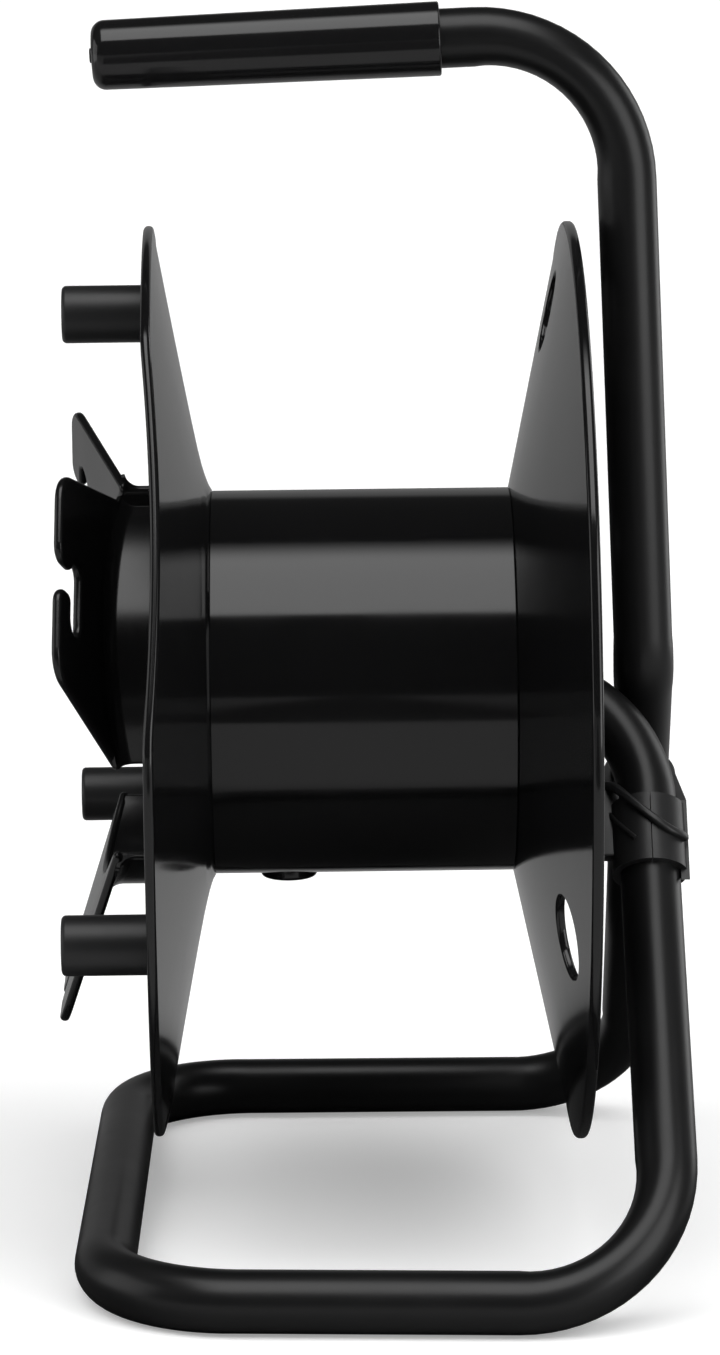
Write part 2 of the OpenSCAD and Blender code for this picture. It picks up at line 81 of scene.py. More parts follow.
PEG_CIRCLE_R = 120
PEG_FOOT = 66.6              # flat top of the foot that a peg stands on
PEG_FOOT_R = 11.6
PEG_R = 9.2
PEG_END = 94.8
POST_R = 7
PEG_ANGLES = (0, 120, 240)

HOOK_ANGLES = (60, 180, 300)
HOOK_WALL_R = 64.6
HOOK_WALL = 3
HOOK_HALF_ANGLE = 42
HOOK_NECK = 80.7
HOOK_LEAN = math.radians(17)
HOOK_REACH = 46
HOOK_TIP_HALF = 32
HOOK_TAB = 3
HOOK_TAB_IN_R = 47
HOOK_TAB_HALF_ANGLE = 30
HOOK_SCREW_R = 53
HOOK_SCREW_ANGLE = 20
SCREW_HOLE_R = 2.05

RIB_ANGLES = tuple(30 + 60 * i for i in range(6))
SPOOL_TURN = 2

# ---------------------------------------------------------------- places, from the frame

spin = [j for j in frame["joints"] if j["name"] == "drum_spin"][0]
axle_centre = Vector(spin["pos_m"]) / MM
axle_dir = Vector(spin["axis"]).normalized()
side = Vector((0, 1, 0))
up_less = side.cross(axle_dir)
AXLE = Matrix.Translation(axle_centre) @ Matrix((up_less, side, axle_dir)).transposed().to_4x4()
MIDDLE_X = -axle_centre.x    # the spool's middle lies this far to the left of the origin
FREE_END = Matrix.Diagonal((1, 1, -1, 1))


def at_angle(degrees):
    """Turns local X of the spool to an angle from the top towards the front."""
    return Matrix.Rotation(math.radians(180 + SPOOL_TURN + degrees), 4, "Z")


def cone_face(r):
    """Distance of the legs' side flange's inner face from the spool's middle at radius r."""
    return BARREL_HALF + (r - BARREL_R) * CONE_SLOPE


def bell_face(r):
    """The same for the open side's flange, which starts steeper and flattens towards its rim."""
    x = r - BARREL_R
    return BARREL_HALF + 0.2 * x + 1.6 * (1 - math.exp(-max(x, 0) / 5)) - 0.00012 * x * x


def slope_of(face, r):
    step = 0.2
    return (face(r + step) - face(r - step)) / (2 * step)


def eased(value, start, end):
    """0 below start, 1 above end and smooth between them."""
    x = min(max((value - start) / (end - start), 0), 1)
    return x * x * (3 - 2 * x)


LEAN = 0.0197                # slope of the open side's flange, its front nearer the middle
LEAN_RANGE = (60, 72)        # radii over which that flange takes up its lean
HOOK_DROOP = 0.0207          # slope of the hooks' plates, the lower one further out


def leaning(bm, matrix, low, high, by_height, droop=0.0):
    """Leans a piece of the open side: not at all below low, fully above high.

    low and high are heights along the axle if by_height is true, and radii if not.
    """
    back = matrix.inverted()
    for vert in bm.verts:
        place = matrix @ vert.co
        share = eased(place.z if by_height else math.hypot(place.x, place.y), low, high)
        place.z += (LEAN * place.y + droop * place.x) * share
        vert.co = back @ place
    return bm


# ---------------------------------------------------------------- camera, light and floor

CAMERA_PLACE = (-0.0171, -1.4897, 0.4222)
CAMERA_LENS = 123.88
CAMERA_DOWN = 6.012
CAMERA_RIGHT = 0.489
CAMERA_SHIFT = -0.2


def make_camera():
    data = bpy.data.cameras.new("camera")
    data.lens = CAMERA_LENS
    data.sensor_width = 36
    data.shift_y = CAMERA_SHIFT
    data.clip_end = 50
    camera = bpy.data.objects.new("camera", data)
    camera.location = CAMERA_PLACE
    camera.rotation_euler = (math.radians(90 - CAMERA_DOWN), 0, math.radians(-CAMERA_RIGHT))
    bpy.context.scene.collection.objects.link(camera)
    bpy.context.scene.camera = camera


def add(tree, kind, settings=None, inputs=None):
    """A new shader node with its settings, and its inputs set to values or linked to sockets."""
    made = tree.nodes.new(kind)
    for key, value in (settings or {}).items():
        setattr(made, key, value)
    for key, value in (inputs or {}).items():
        if isinstance(value, bpy.types.NodeSocket):
            tree.links.new(value, made.inputs[key])
        else:
            made.inputs[key].default_value = value
    return made


def maths(tree, operation, a, b=0.0):
    return add(tree, "ShaderNodeMath", {"operation": operation}, {0: a, 1: b}).outputs[0]


def ramp_up(tree, value, start, end):
    """0 below start, 1 above end and smooth between them; a start above end turns it round."""
    made = add(tree, "ShaderNodeMapRange", {"interpolation_type": "SMOOTHSTEP"},
               {"Value": value, "From Min": min(start, end), "From Max": max(start, end),
                "To Min": float(start > end), "To Max": float(start < end)})
    return made.outputs[0]


def window(tree, value, low, high, soft_low, soft_high):
    """1 between low and high, with soft edges outside them."""
    return maths(tree, "MULTIPLY", ramp_up(tree, value, low - soft_low, low),
                 ramp_up(tree, value, high + soft_high, high))


# low and high are degrees up from the front horizon, over the top and down behind
BACKGROUND = 1.0             # what the camera sees behind the floor
GLOOM = 0.03                 # the studio's own dark walls, seen in reflections
TOP_BOX = {"radiance": 2.9, "low": 50, "high": 85, "soft": (2, 17), "half_width": 50}
BACK_TOP = {"radiance": 0.2, "low": 158, "high": 178, "soft": (8, 2), "half_width": 60}
MIRRORED_NARROWER = 2.0      # in reflections the top box looks narrower by one plus this


def studio_world():
    world = bpy.data.worlds.new("studio")
    bpy.context.scene.world = world
    world.use_nodes = True
    tree = world.node_tree
    tree.nodes.clear()
    towards = add(tree, "ShaderNodeTexCoord").outputs["Generated"]
    split = add(tree, "ShaderNodeSeparateXYZ", None, {0: towards})
    x, y, z = split.outputs
    degrees = math.degrees(1)
    over = maths(tree, "MULTIPLY", maths(tree, "ARCTAN2", z, maths(tree, "MULTIPLY", y, -1.0)), degrees)
    aside = maths(tree, "ABSOLUTE", maths(tree, "MULTIPLY", maths(tree, "ARCSINE", x), degrees))
    mirrored = add(tree, "ShaderNodeLightPath").outputs["Is Glossy Ray"]
    narrower = maths(tree, "ADD", maths(tree, "MULTIPLY", mirrored, MIRRORED_NARROWER), 1.0)
    aside_top = maths(tree, "MULTIPLY", aside, narrower)
    light = GLOOM
    for box, off in ((TOP_BOX, aside_top), (BACK_TOP, aside)):
        patch = maths(tree, "MULTIPLY", window(tree, over, box["low"], box["high"], *box["soft"]),
                      ramp_up(tree, off, box["half_width"] + 20, box["half_width"]))
        light = maths(tree, "ADD", light, maths(tree, "MULTIPLY", patch, box["radiance"]))
    seen = add(tree, "ShaderNodeLightPath").outputs["Is Camera Ray"]
    strength = add(tree, "ShaderNodeMix", {"data_type": "FLOAT"}, {0: seen, 2: light, 3: BACKGROUND})
    glow = add(tree, "ShaderNodeBackground", None,
               {"Color": (1, 1, 1, 1), "Strength": strength.outputs[0]})
    add(tree, "ShaderNodeOutputWorld", None, {"Surface": glow.outputs[0]})


def soft_box(name, place, target, width, height, radiance):
    """A rectangular studio light of even brightness that the camera doesn't see."""
    watts = 4 * width * height * radiance
    data = bpy.data.lights.new(name, "AREA")
    data.shape = "RECTANGLE"
    data.size = width
    data.size_y = height
    data.energy = watts
    lamp = bpy.data.objects.new(name, data)
    lamp.location = place
    lamp.rotation_euler = (Vector(target) - Vector(place)).to_track_quat("-Z", "Y").to_euler()
    lamp.visible_camera = False
    bpy.context.scene.collection.objects.link(lamp)


def studio_lights():
    middle = (0, 0, 0.2)
    soft_box("right_box", (1.05, -0.95, 0.45), middle, 0.9, 1.3, 1.9)
    soft_box("right_rim", (1.1, 0.75, 0.45), middle, 0.6, 1.2, 1.3)
    soft_box("left_fill", (-1.5, -0.1, 0.5), middle, 1.2, 1.0, 0.8)


FLOOR_R = 30.0
FLOOR_TONE = 0.8
PAINTED_LIGHT_STRIP = (-0.66, -0.17)   # painted light: the floor between these distances in front is painted bright, in reflections only
PAINTED_FRONT_LIGHT = 0.45            # painted light: how bright these parts of the floor are painted, in reflections only
PAINTED_BACK_LIGHT = 0.3
PAINTED_SIDE_LIGHT = 0.3
# painted shade: the floor's tone in reflections wherever no painted light lies, as under the reel
PAINTED_SHADE_TONE = 0.06
FLOOR_GLOW = 0.3             # lifts the paper towards white for the camera only


def make_floor():
    mesh = bpy.data.meshes.new("floor")
    bm = bmesh.new()
    bmesh.ops.create_circle(bm, cap_ends=True, segments=96, radius=FLOOR_R)
    bm.to_mesh(mesh)
    bm.free()
    floor = bpy.data.objects.new("floor", mesh)
    bpy.context.scene.collection.objects.link(floor)
    material = bpy.data.materials.new("floor_paper")
    material.use_nodes = True
    tree = material.node_tree
    tree.nodes.clear()
    place = add(tree, "ShaderNodeTexCoord").outputs["Object"]
    split = add(tree, "ShaderNodeSeparateXYZ", None, {0: place})
    # painted light and shade, seen only in reflections: bright in front of, behind and beside the reel,
    # dark under it
    front = maths(tree, "MULTIPLY", window(tree, split.outputs[1], *PAINTED_LIGHT_STRIP, 0.03, 0.05), PAINTED_FRONT_LIGHT)
    behind = maths(tree, "MULTIPLY", ramp_up(tree, split.outputs[1], 0.1, 0.25), PAINTED_BACK_LIGHT)
    beside = ramp_up(tree, maths(tree, "ABSOLUTE", split.outputs[0]), 0.15, 0.35)
    beside = maths(tree, "MULTIPLY", beside, PAINTED_SIDE_LIGHT)
    mirrored = maths(tree, "MAXIMUM", maths(tree, "MAXIMUM", front, behind), beside)
    mirrored = maths(tree, "ADD", mirrored, PAINTED_SHADE_TONE)
    glossy = add(tree, "ShaderNodeLightPath").outputs["Is Glossy Ray"]
    share = add(tree, "ShaderNodeMix", {"data_type": "FLOAT"}, {0: glossy, 2: 1.0, 3: mirrored})
    grain = add(tree, "ShaderNodeTexNoise", None, {"Vector": place, "Scale": 40.0, "Detail": 4.0})
    tone = add(tree, "ShaderNodeMapRange", None,
               {"Value": grain.outputs[0], "To Min": FLOOR_TONE - 0.005, "To Max": FLOOR_TONE + 0.005})
    colour = add(tree, "ShaderNodeCombineColor", None,
                 {i: maths(tree, "MULTIPLY", tone.outputs[0], share.outputs[0]) for i in range(3)})
    paper = add(tree, "ShaderNodeBsdfDiffuse", None, {"Color": colour.outputs[0]})
    seen = add(tree, "ShaderNodeLightPath").outputs["Is Camera Ray"]
    lift = add(tree, "ShaderNodeEmission", None,
               {"Color": (1, 1, 1, 1), "Strength": maths(tree, "MULTIPLY", seen, FLOOR_GLOW)})
    both = add(tree, "ShaderNodeAddShader", None, {0: paper.outputs[0], 1: lift.outputs[0]})
    add(tree, "ShaderNodeOutputMaterial", None, {"Surface": both.outputs[0]})
    mesh.materials.append(material)


# ---------------------------------------------------------------- materials

WEAR_WIDTH = 0.6             # how far wear reaches from an edge, in millimetres
WEAR_DULL = 0.12             # how much rougher a worn edge is
WEAR_TONE = 0.012            # how much lighter a worn edge is


def coated(name, colour, roughness, spread, grain, grain_depth, patch=25.0, metallic=0.0, ior=1.5):
    """A material with drifting tone and roughness, a fine grain and dull, lighter worn edges.

    grain is the size of the grain and grain_depth its depth, both in millimetres.
    """
    material = bpy.data.materials.new(name)
    material.use_nodes = True
    tree = material.node_tree
    tree.nodes.clear()
    place = add(tree, "ShaderNodeTexCoord").outputs["Object"]
    drift = add(tree, "ShaderNodeTexNoise", None,
                {"Vector": place, "Scale": patch, "Detail": 5.0, "Roughness": 0.6}).outputs[0]
    fine = add(tree, "ShaderNodeTexNoise", None,
               {"Vector": place, "Scale": 1 / (grain * MM), "Detail": 3.0, "Roughness": 0.55}).outputs[0]
    rough = add(tree, "ShaderNodeMapRange", None,
                {"Value": drift, "From Min": 0.3, "From Max": 0.7,
                 "To Min": roughness - spread, "To Max": roughness + spread}).outputs[0]
    darker = tuple(0.85 * c for c in colour) + (1,)
    lighter = tuple(1.15 * c for c in colour) + (1,)
    worn_tone = tuple(min(1.0, c + WEAR_TONE) for c in colour) + (1,)
    tone = add(tree, "ShaderNodeMix", {"data_type": "RGBA"}, {0: drift, 6: darker, 7: lighter})
    bump = add(tree, "ShaderNodeBump", None,
               {"Strength": 1.0, "Distance": grain_depth * MM, "Height": fine}).outputs[0]
    round_edge = add(tree, "ShaderNodeBevel", {"samples": 4}, {"Radius": WEAR_WIDTH * MM}).outputs[0]
    true_face = add(tree, "ShaderNodeNewGeometry").outputs["Normal"]
    along = add(tree, "ShaderNodeVectorMath", {"operation": "DOT_PRODUCT"},
                {0: round_edge, 1: true_face})
    edge = ramp_up(tree, along.outputs["Value"], 0.995, 0.9)
    worn = maths(tree, "MULTIPLY", edge, ramp_up(tree, drift, 0.42, 0.62))
    rough = maths(tree, "ADD", rough, maths(tree, "MULTIPLY", worn, WEAR_DULL))
    tone = add(tree, "ShaderNodeMix", {"data_type": "RGBA"}, {0: worn, 6: tone.outputs[2], 7: worn_tone})
    shell = add(tree, "ShaderNodeBsdfPrincipled", None,
                {"Base Color": tone.outputs[2], "Roughness": rough, "Normal": bump,
                 "Metallic": metallic, "IOR": ior})
    add(tree, "ShaderNodeOutputMaterial", None, {"Surface": shell.outputs[0]})
    return material


POWDER_COAT = coated("powder_coat", (0.0045, 0.0045, 0.0047), 0.33, 0.03, 0.9, 0.012, ior=1.42)
FLANGE_PLASTIC = coated("flange_plastic", (0.0045, 0.0045, 0.0047), 0.11, 0.03, 3.0, 0.002)
SPOOL_PLASTIC = coated("spool_plastic", (0.0045, 0.0045, 0.0047), 0.11, 0.03, 3.0, 0.002)
HOOK_PLASTIC = coated("hook_plastic", (0.005, 0.005, 0.0052), 0.2, 0.04, 2.0, 0.003)
PEG_PLASTIC = coated("peg_plastic", (0.011, 0.011, 0.0115), 0.42, 0.05, 0.5, 0.012)
CLAMP_PLASTIC = coated("clamp_plastic", (0.008, 0.008, 0.0083), 0.4, 0.05, 0.6, 0.01)
GRIP_VINYL = coated("grip_vinyl", (0.006, 0.006, 0.0062), 0.13, 0.03, 6.0, 0.01)
ZINC = coated("zinc", (0.56, 0.57, 0.59), 0.32, 0.06, 0.4, 0.004, metallic=1.0)
NYLON = coated("nylon", (0.72, 0.71, 0.66), 0.4, 0.05, 0.8, 0.006)

# ---------------------------------------------------------------- mesh tools


def temporary(bm):
    """An object in millimetres that is only used while a piece is made."""
    bmesh.ops.recalc_face_normals(bm, faces=bm.faces)
    mesh = bpy.data.meshes.new("work")
    bm.to_mesh(mesh)
    bm.free()
    made = bpy.data.objects.new("work", mesh)
    bpy.context.scene.collection.objects.link(made)
    return made


def combine(base, tool, operation):
    """Joins, cuts or keeps the overlap of two temporary solids and returns the outcome."""
    step = base.modifiers.new("combine", "BOOLEAN")
    step.operation = operation
    step.solver = "EXACT"
    step.object = tool
    shown = base.evaluated_get(bpy.context.evaluated_depsgraph_get())
    mesh = bpy.data.meshes.new_from_object(shown)
    base.modifiers.clear()
    base.data = mesh
    bpy.data.objects.remove(tool)
    return base


def taken(work):
    """The bmesh of a temporary object, which is then removed."""
    bm = bmesh.new()
    bm.from_mesh(work.data)
    bpy.data.objects.remove(work)
    return bm


def moved(bm, matrix):
    bm.transform(matrix)
    return bm


def joined(*parts):
    """One bmesh with all the given ones in it."""
    whole = bmesh.new()
    for part in parts:
        mesh = bpy.data.meshes.new("work")
        part.to_mesh(mesh)
        part.free()
        whole.from_mesh(mesh)
        bpy.data.meshes.remove(mesh)
    return whole


def finish_mesh(name, bm, matrix, material, sharp=38):
    """The final object of a bmesh drawn in millimetres."""
    bm.transform(Matrix.Scale(MM, 4) @ matrix)
    bmesh.ops.remove_doubles(bm, verts=bm.verts, dist=2e-6)
    bmesh.ops.dissolve_degenerate(bm, edges=bm.edges, dist=1e-6)
    bmesh.ops.recalc_face_normals(bm, faces=bm.faces)
    mesh = bpy.data.meshes.new(name)
    bm.to_mesh(mesh)
    bm.free()
    mesh.shade_smooth()
    mesh.set_sharp_from_angle(angle=math.radians(sharp))
    mesh.materials.append(material)
    made = bpy.data.objects.new(name, mesh)
    bpy.context.scene.collection.objects.link(made)
    return made


def even_normals(piece):
    """Keeps flat faces evenly shaded beside their narrow rounded edges."""
    weigh = piece.modifiers.new("even_normals", "WEIGHTED_NORMAL")
    weigh.keep_sharp = True
    weigh.weight = 90


def place_piece(piece, body, slot, *nodes):
    """Puts a finished piece on its body and lets it stand for its CAD nodes."""
    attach(piece, body)
    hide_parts(*nodes)


def arc_at(corner, before, after, radius, step_degrees=12):
    """Points of the round corner between the lines to the points before and after it, in 2D."""
    u = (before - corner).normalized()
    v = (after - corner).normalized()
    turn = math.pi - u.angle(v)
    if turn < 1e-4:
        return [corner]
    room = 0.49 * min((before - corner).length, (after - corner).length)
    reach = min(radius * math.tan(turn / 2), room)
    radius = reach / math.tan(turn / 2)
    centre = corner + (u + v).normalized() * (radius / math.cos(turn / 2))
    first = corner + u * reach - centre
    way = 1 if (-u).cross(v) > 0 else -1
    steps = max(2, round(math.degrees(turn) / step_degrees))
    points = []
    for i in range(steps + 1):
        a = way * turn * i / steps
        points.append(centre + Vector((first.x * math.cos(a) - first.y * math.sin(a),
                                       first.x * math.sin(a) + first.y * math.cos(a))))
    return points


def rounded(points, step_degrees=12):
    """A closed outline from (x, y) or (x, y, corner radius) points."""
    flat = [Vector(p[:2]) for p in points]
    outline = []
    for i, corner in enumerate(flat):
        radius = points[i][2] if len(points[i]) > 2 else 0
        if radius:
            outline += arc_at(corner, flat[i - 1], flat[(i + 1) % len(flat)], radius, step_degrees)
        else:
            outline.append(corner)
    return outline


def loft(rings, capped):
    """A bmesh through closed rings, with capped ends or running back to its start."""
    bm = bmesh.new()
    levels = [[bm.verts.new(p) for p in ring] for ring in rings]
    count = len(levels[0])
    pairs = list(zip(levels, levels[1:]))
    if not capped:
        pairs.append((levels[-1], levels[0]))
    for low, high in pairs:
        for i in range(count):
            j = (i + 1) % count
            bm.faces.new((low[i], low[j], high[j], high[i]))
    if capped:
        bm.faces.new(list(reversed(levels[0])))
        bm.faces.new(levels[-1])
    return bm


def lathe(outline, segments):
    """A bmesh that turns an outline of (radius, along) points about Z.

    An outline that starts on the axis must also end there; any other one is closed.
    """
    bm = bmesh.new()
    on_axis = outline[0][0] < 1e-6
    angles = [2 * math.pi * i / segments for i in range(segments)]
    turns = [(math.cos(a), math.sin(a)) for a in angles]
    rings = []
    for r, s in outline:
        if r < 1e-6:
            rings.append([bm.verts.new((0, 0, s))] * segments)
        else:
            rings.append([bm.verts.new((r * c, r * n, s)) for c, n in turns])
    pairs = list(zip(rings, rings[1:]))
    if not on_axis:
        pairs.append((rings[-1], rings[0]))
    for low, high in pairs:
        for i in range(segments):
            j = (i + 1) % segments
            corners = []
            for vert in (low[i], low[j], high[j], high[i]):
                if vert not in corners:
                    corners.append(vert)
            if len(corners) > 2:
                bm.faces.new(corners)
    return bm


def inset_points(outline, distance):
    """An anticlockwise outline moved inwards by a small distance."""
    inside = []
    for i, here in enumerate(outline):
        back = (here - outline[i - 1]).normalized()
        ahead = (outline[(i + 1) % len(outline)] - here).normalized()
        inward = Vector((-(back + ahead).y, (back + ahead).x)).normalized()
        inside.append(here + inward * distance / max(0.5, inward.dot(Vector((-back.y, back.x)))))
    return inside


def slab(outline, low, high, edge, steps=4):
    """A plate of an anticlockwise outline between two heights, with its edges rounded."""
    rings = []
    for i in range(steps + 1):
        a = math.pi / 2 * i / steps
        rings.append([(p.x, p.y, low + edge * (1 - math.cos(a)))
                      for p in inset_points(outline, edge * (1 - math.sin(a)))])
    for i in range(steps, -1, -1):
        a = math.pi / 2 * i / steps
        rings.append([(p.x, p.y, high - edge * (1 - math.cos(a)))
                      for p in inset_points(outline, edge * (1 - math.sin(a)))])
    return loft(rings, True)


def rod(radius, low, high, segments=32, edge=0.0):
    """A solid round bar along Z with its ends rounded."""
    points = [(0, low), (radius, low, edge), (radius, high, edge), (0, high)]
    if not edge:
        return lathe([p[:2] for p in points], segments)
    return lathe(open_outline(points), segments)


def open_outline(points, step_degrees=15):
    """An outline from axis to axis with rounded corners."""
    flat = [Vector(p[:2]) for p in points]
    outline = [flat[0]]
    for i in range(1, len(points) - 1):
        if len(points[i]) > 2:
            outline += arc_at(flat[i], flat[i - 1], flat[i + 1], points[i][2], step_degrees)
        else:
            outline.append(flat[i])
    return outline + [flat[-1]]


# ---------------------------------------------------------------- frame tube and grip

HANDLE_END = Vector((-82, 0, 377.99))
TUBE_CORNERS = (
    HANDLE_END,
    Vector((82.6, 0, 386.04)),
    Vector((91, 0, 181)),
    Vector((95, 132.77, 9.5)),
    Vector((-80, 128.04, 9.5)),
    Vector((-80, -128.04, 9.5)),
    Vector((92, -132.69, 9.5)),
    Vector((89.59, 0, 177.52)),
    Vector((-51.3, 0, 175.92)),
)
TUBE_BENDS = (0, 47, 28, 40, 42, 42, 45, 46, 0)
TO_ORIGIN = Matrix.Translation((-MIDDLE_X, 0, 0))


def tube_path(corners, bends, step_degrees=5):
    """Stations of the tube's centre line.

    Each is a place, a direction, the way to the bend's centre and the share of the flattening.
    """
    stations = [(corners[0], (corners[1] - corners[0]).normalized(), Vector((0, 0, 1)), 0.0)]
    for before, corner, after, radius in zip(corners, corners[1:], corners[2:], bends[1:]):
        u = (before - corner).normalized()
        v = (after - corner).normalized()
        turn = math.pi - u.angle(v)
        centre = corner + (u + v).normalized() * radius / math.cos(turn / 2)
        start = corner + u * radius * math.tan(turn / 2) - centre
        axis = (-u).cross(v).normalized()
        steps = round(math.degrees(turn) / step_degrees)
        for i in range(steps + 1):
            spoke = Matrix.Rotation(turn * i / steps, 3, axis) @ start
            share = math.sin(math.pi * i / steps) ** 0.8 if 0 < i < steps else 0.0
            stations.append((centre + spoke, axis.cross(spoke).normalized(), -spoke.normalized(), share))
    stations.append((corners[-1], (corners[-1] - corners[-2]).normalized(), Vector((0, 0, 1)), 0.0))
    return stations


def tube_skin(stations, radius, sides, flattening):
    """Rings of one face of the tube, pressed in on the inner side of every bend."""
    rings = []
    across = Vector((0, 1, 0))
    for place, along, inward, share in stations:
        across = (across - along * across.dot(along)).normalized()
        other = along.cross(across)
        ring = []
        for i in range(sides):
            a = 2 * math.pi * i / sides
            spoke = across * math.cos(a) + other * math.sin(a)
            facing = spoke.dot(inward)
            pressed = flattening * share * max(0.0, facing) ** 2
            spread = 0.2 * flattening * share * (1 - facing * facing)
            ring.append(place + spoke * (radius - pressed + spread))
        rings.append(ring)
    return rings


def make_frame_tube():
    stations = tube_path(TUBE_CORNERS, TUBE_BENDS)
    outer = tube_skin(stations, TUBE_R, 48, BEND_FLATTENING)
    inner = tube_skin(stations, TUBE_R - TUBE_WALL, 48, BEND_FLATTENING)
    bm = loft(outer + list(reversed(inner)), False)
    tube = finish_mesh("bent_tube", bm, TO_ORIGIN, POWDER_COAT, sharp=60)
    place_piece(tube, "frame", "powder_coat", "frame_tube")


GRIP_START = -86.2
GRIP_LENGTH = 111
GRIP_CLOSED_R = 11.1
GRIP_OPEN_R = 11.9
NUB_R = 2.4                  # nub on the grip's closed end
NUB_H = 0.8


def make_grip():
    run = (TUBE_CORNERS[1] - HANDLE_END).normalized()
    start = HANDLE_END + run * (GRIP_START - HANDLE_END.x) / run.x
    outline = open_outline([
        (0, -NUB_H), (NUB_R, -NUB_H, 0.5), (NUB_R, 0, 0.4),
        (GRIP_CLOSED_R, 0, 4.6), (GRIP_CLOSED_R + 0.25, 30, 60),
        (GRIP_OPEN_R, GRIP_LENGTH, 0.7), (TUBE_R + 0.05, GRIP_LENGTH, 0.3),
        (TUBE_R + 0.05, 3.4), (0, 3.4)],
        step_degrees=10)
    turn = Vector((0, 0, 1)).rotation_difference(run).to_matrix().to_4x4()
    place = TO_ORIGIN @ Matrix.Translation(start) @ turn
    grip = finish_mesh("grip_sleeve", lathe(outline, 96), place, GRIP_VINYL)
    even_normals(grip)
    place_piece(grip, "frame", "grip_vinyl", "handle_grip")


# ---------------------------------------------------------------- spool

COLUMNS = 240


def rim_of_free_flange(degrees):
    """Rim radius of the free flange at an angle: a circle with three flats and soft corners."""
    softness = 0.9
    total = 1.0
    for hook in HOOK_ANGLES:
        off = (degrees - hook + 180) % 360 - 180
        if abs(off) < 60:
            flat = FLAT_R / math.cos(math.radians(off))
            total += math.exp((RIM_R - flat) * softness)
    return RIM_R - math.log(total) / softness


CONE_ROWS = (63.5, 65, 67, 70, 75, 84, 96, 110, 124)    # radii of the rings of points on a face


def flange_outline(rim, face, rim_thick):
    """Section of a flange with its rim at a radius: hub, end wall, spigot, cone and rolled rim."""
    inside = [(r, face(r)) for r in CONE_ROWS]
    outside = [(r, face(r) + SKIN) for r in reversed(CONE_ROWS) if r > STEP_R + 1]
    return rounded([
        (BUSH_SEAT_R, HUB_INNER, 0.4), (HUB_R, HUB_INNER, 0.8), (HUB_R, BARREL_HALF, 2),
        (SPIGOT_IN_R, BARREL_HALF, 1), (SPIGOT_IN_R, SPIGOT_END, 0.5),
        (SPIGOT_OUT_R, SPIGOT_END, 0.8), (SPIGOT_OUT_R, BARREL_HALF),
        (BARREL_R + 0.4, BARREL_HALF + 0.02)] + inside + [
        (rim - 3.4, face(rim - 3.4)),
        (rim - 2.7, face(rim - 2.7) - 0.3, 0.5),
        (rim, face(rim) - 0.3, 1.4), (rim, face(rim) + rim_thick - 0.3, 1.4),
        (rim - 3.2, face(rim - 3.2) + rim_thick, 1), (rim - 4, face(rim - 4) + SKIN, 0.6)] + outside + [
        (STEP_R, WALL_OUT, 0.3), (BUSH_SEAT_R, WALL_OUT, 0.4)],
        step_degrees=18)


def flange_body(rim_at, face, rim_thick):
    rings = []
    for i in range(COLUMNS):
        angle = 360 * i / COLUMNS
        a = math.radians(angle)
        outline = flange_outline(rim_at(angle - 180 - SPOOL_TURN), face, rim_thick)
        rings.append([(p.x * math.cos(a), p.x * math.sin(a), p.y) for p in outline])
    return loft(rings, False)


def rib(angle, face):
    """A radial rib on the outside of the cone, lower towards the rim, with a rounded crest."""
    start = STEP_R + 1.6
    end = RIM_R - 9
    sunk = 1.6
    half = 1.2
    rings = []
    heights = ((start, 4.9), (start + 1.2, 5.4), ((start + end) / 2, 3.2), (end - 1, 0.8), (end, 0.3))
    for r, tall in heights:
        top = face(r) + SKIN + tall
        low = face(r) + sunk
        foot = face(r) + SKIN
        crest = max(top - 0.5, foot + 0.25)
        right = [(half + 0.35, low), (half + 0.35, foot - 0.1), (half, foot + 0.2),
                 (half - 0.1, crest), (half - 0.5, top)]
        left = [(-across, height) for across, height in reversed(right)]
        rings.append([(r, across, height) for across, height in left[-1:] + right + left[:-1]])
    return moved(loft(rings, True), at_angle(angle))


SAME_FACE = 0.9994           # cosine within which a face counts as part of the true surface


def smooth_cones(piece, face_at, lean):
    """Gives the flat-sided faces of a flange's skin the normals of the true surface."""
    mesh = piece.data
    centre = axle_centre * MM

    def true_normal(place, outward):
        out = place - centre
        spoke = out - axle_dir * out.dot(axle_dir)
        slope = slope_of(face_at, spoke.length / MM)
        tip = lean * eased(spoke.length / MM, *LEAN_RANGE)
        return (axle_dir * outward - spoke.normalized() * slope - side * tip).normalized()

    normals = [Vector((0, 0, 0))] * len(mesh.loops)
    for face in mesh.polygons:
        outward = 1 if (face.center - centre).dot(axle_dir) > 0 else -1
        facing = face.normal.dot(true_normal(face.center, outward))
        if abs(facing) < SAME_FACE:
            continue
        for index in face.loop_indices:
            true = true_normal(mesh.vertices[mesh.loops[index].vertex_index].co, outward)
            normals[index] = true if facing > 0 else -true
    mesh.normals_split_custom_set(normals)


def tie_holes():
    aside = Matrix.Translation((TIE_CIRCLE_R, 0, 0))
    cuts = [moved(rod(TIE_HOLE_R, BARREL_HALF - 3, WALL_OUT + 3, 24), at_angle(a) @ aside)
            for a in PEG_ANGLES]
    return joined(*cuts)


def flared_hole(angle):
    """Cutter of a grab hole with rounded edges, square to the cone."""
    flare = 0.9
    half = SKIN / 2
    far = 6
    outline = [Vector((0, -far)), Vector((HOLE_R + flare, -far)), Vector((HOLE_R + flare, -half))]
    for i in range(1, 5):
        a = math.pi / 2 * i / 4
        outline.append(Vector((HOLE_R + flare * (1 - math.sin(a)), -half + flare * (1 - math.cos(a)))))
    outline += [Vector((p.x, -p.y)) for p in reversed(outline)]
    tilt = Matrix.Rotation(-math.atan(CONE_SLOPE), 4, "Y")
    middle = Matrix.Translation((HOLE_CIRCLE_R, 0, cone_face(HOLE_CIRCLE_R) + half))
    return moved(lathe(outline, 64), at_angle(angle) @ middle @ tilt)


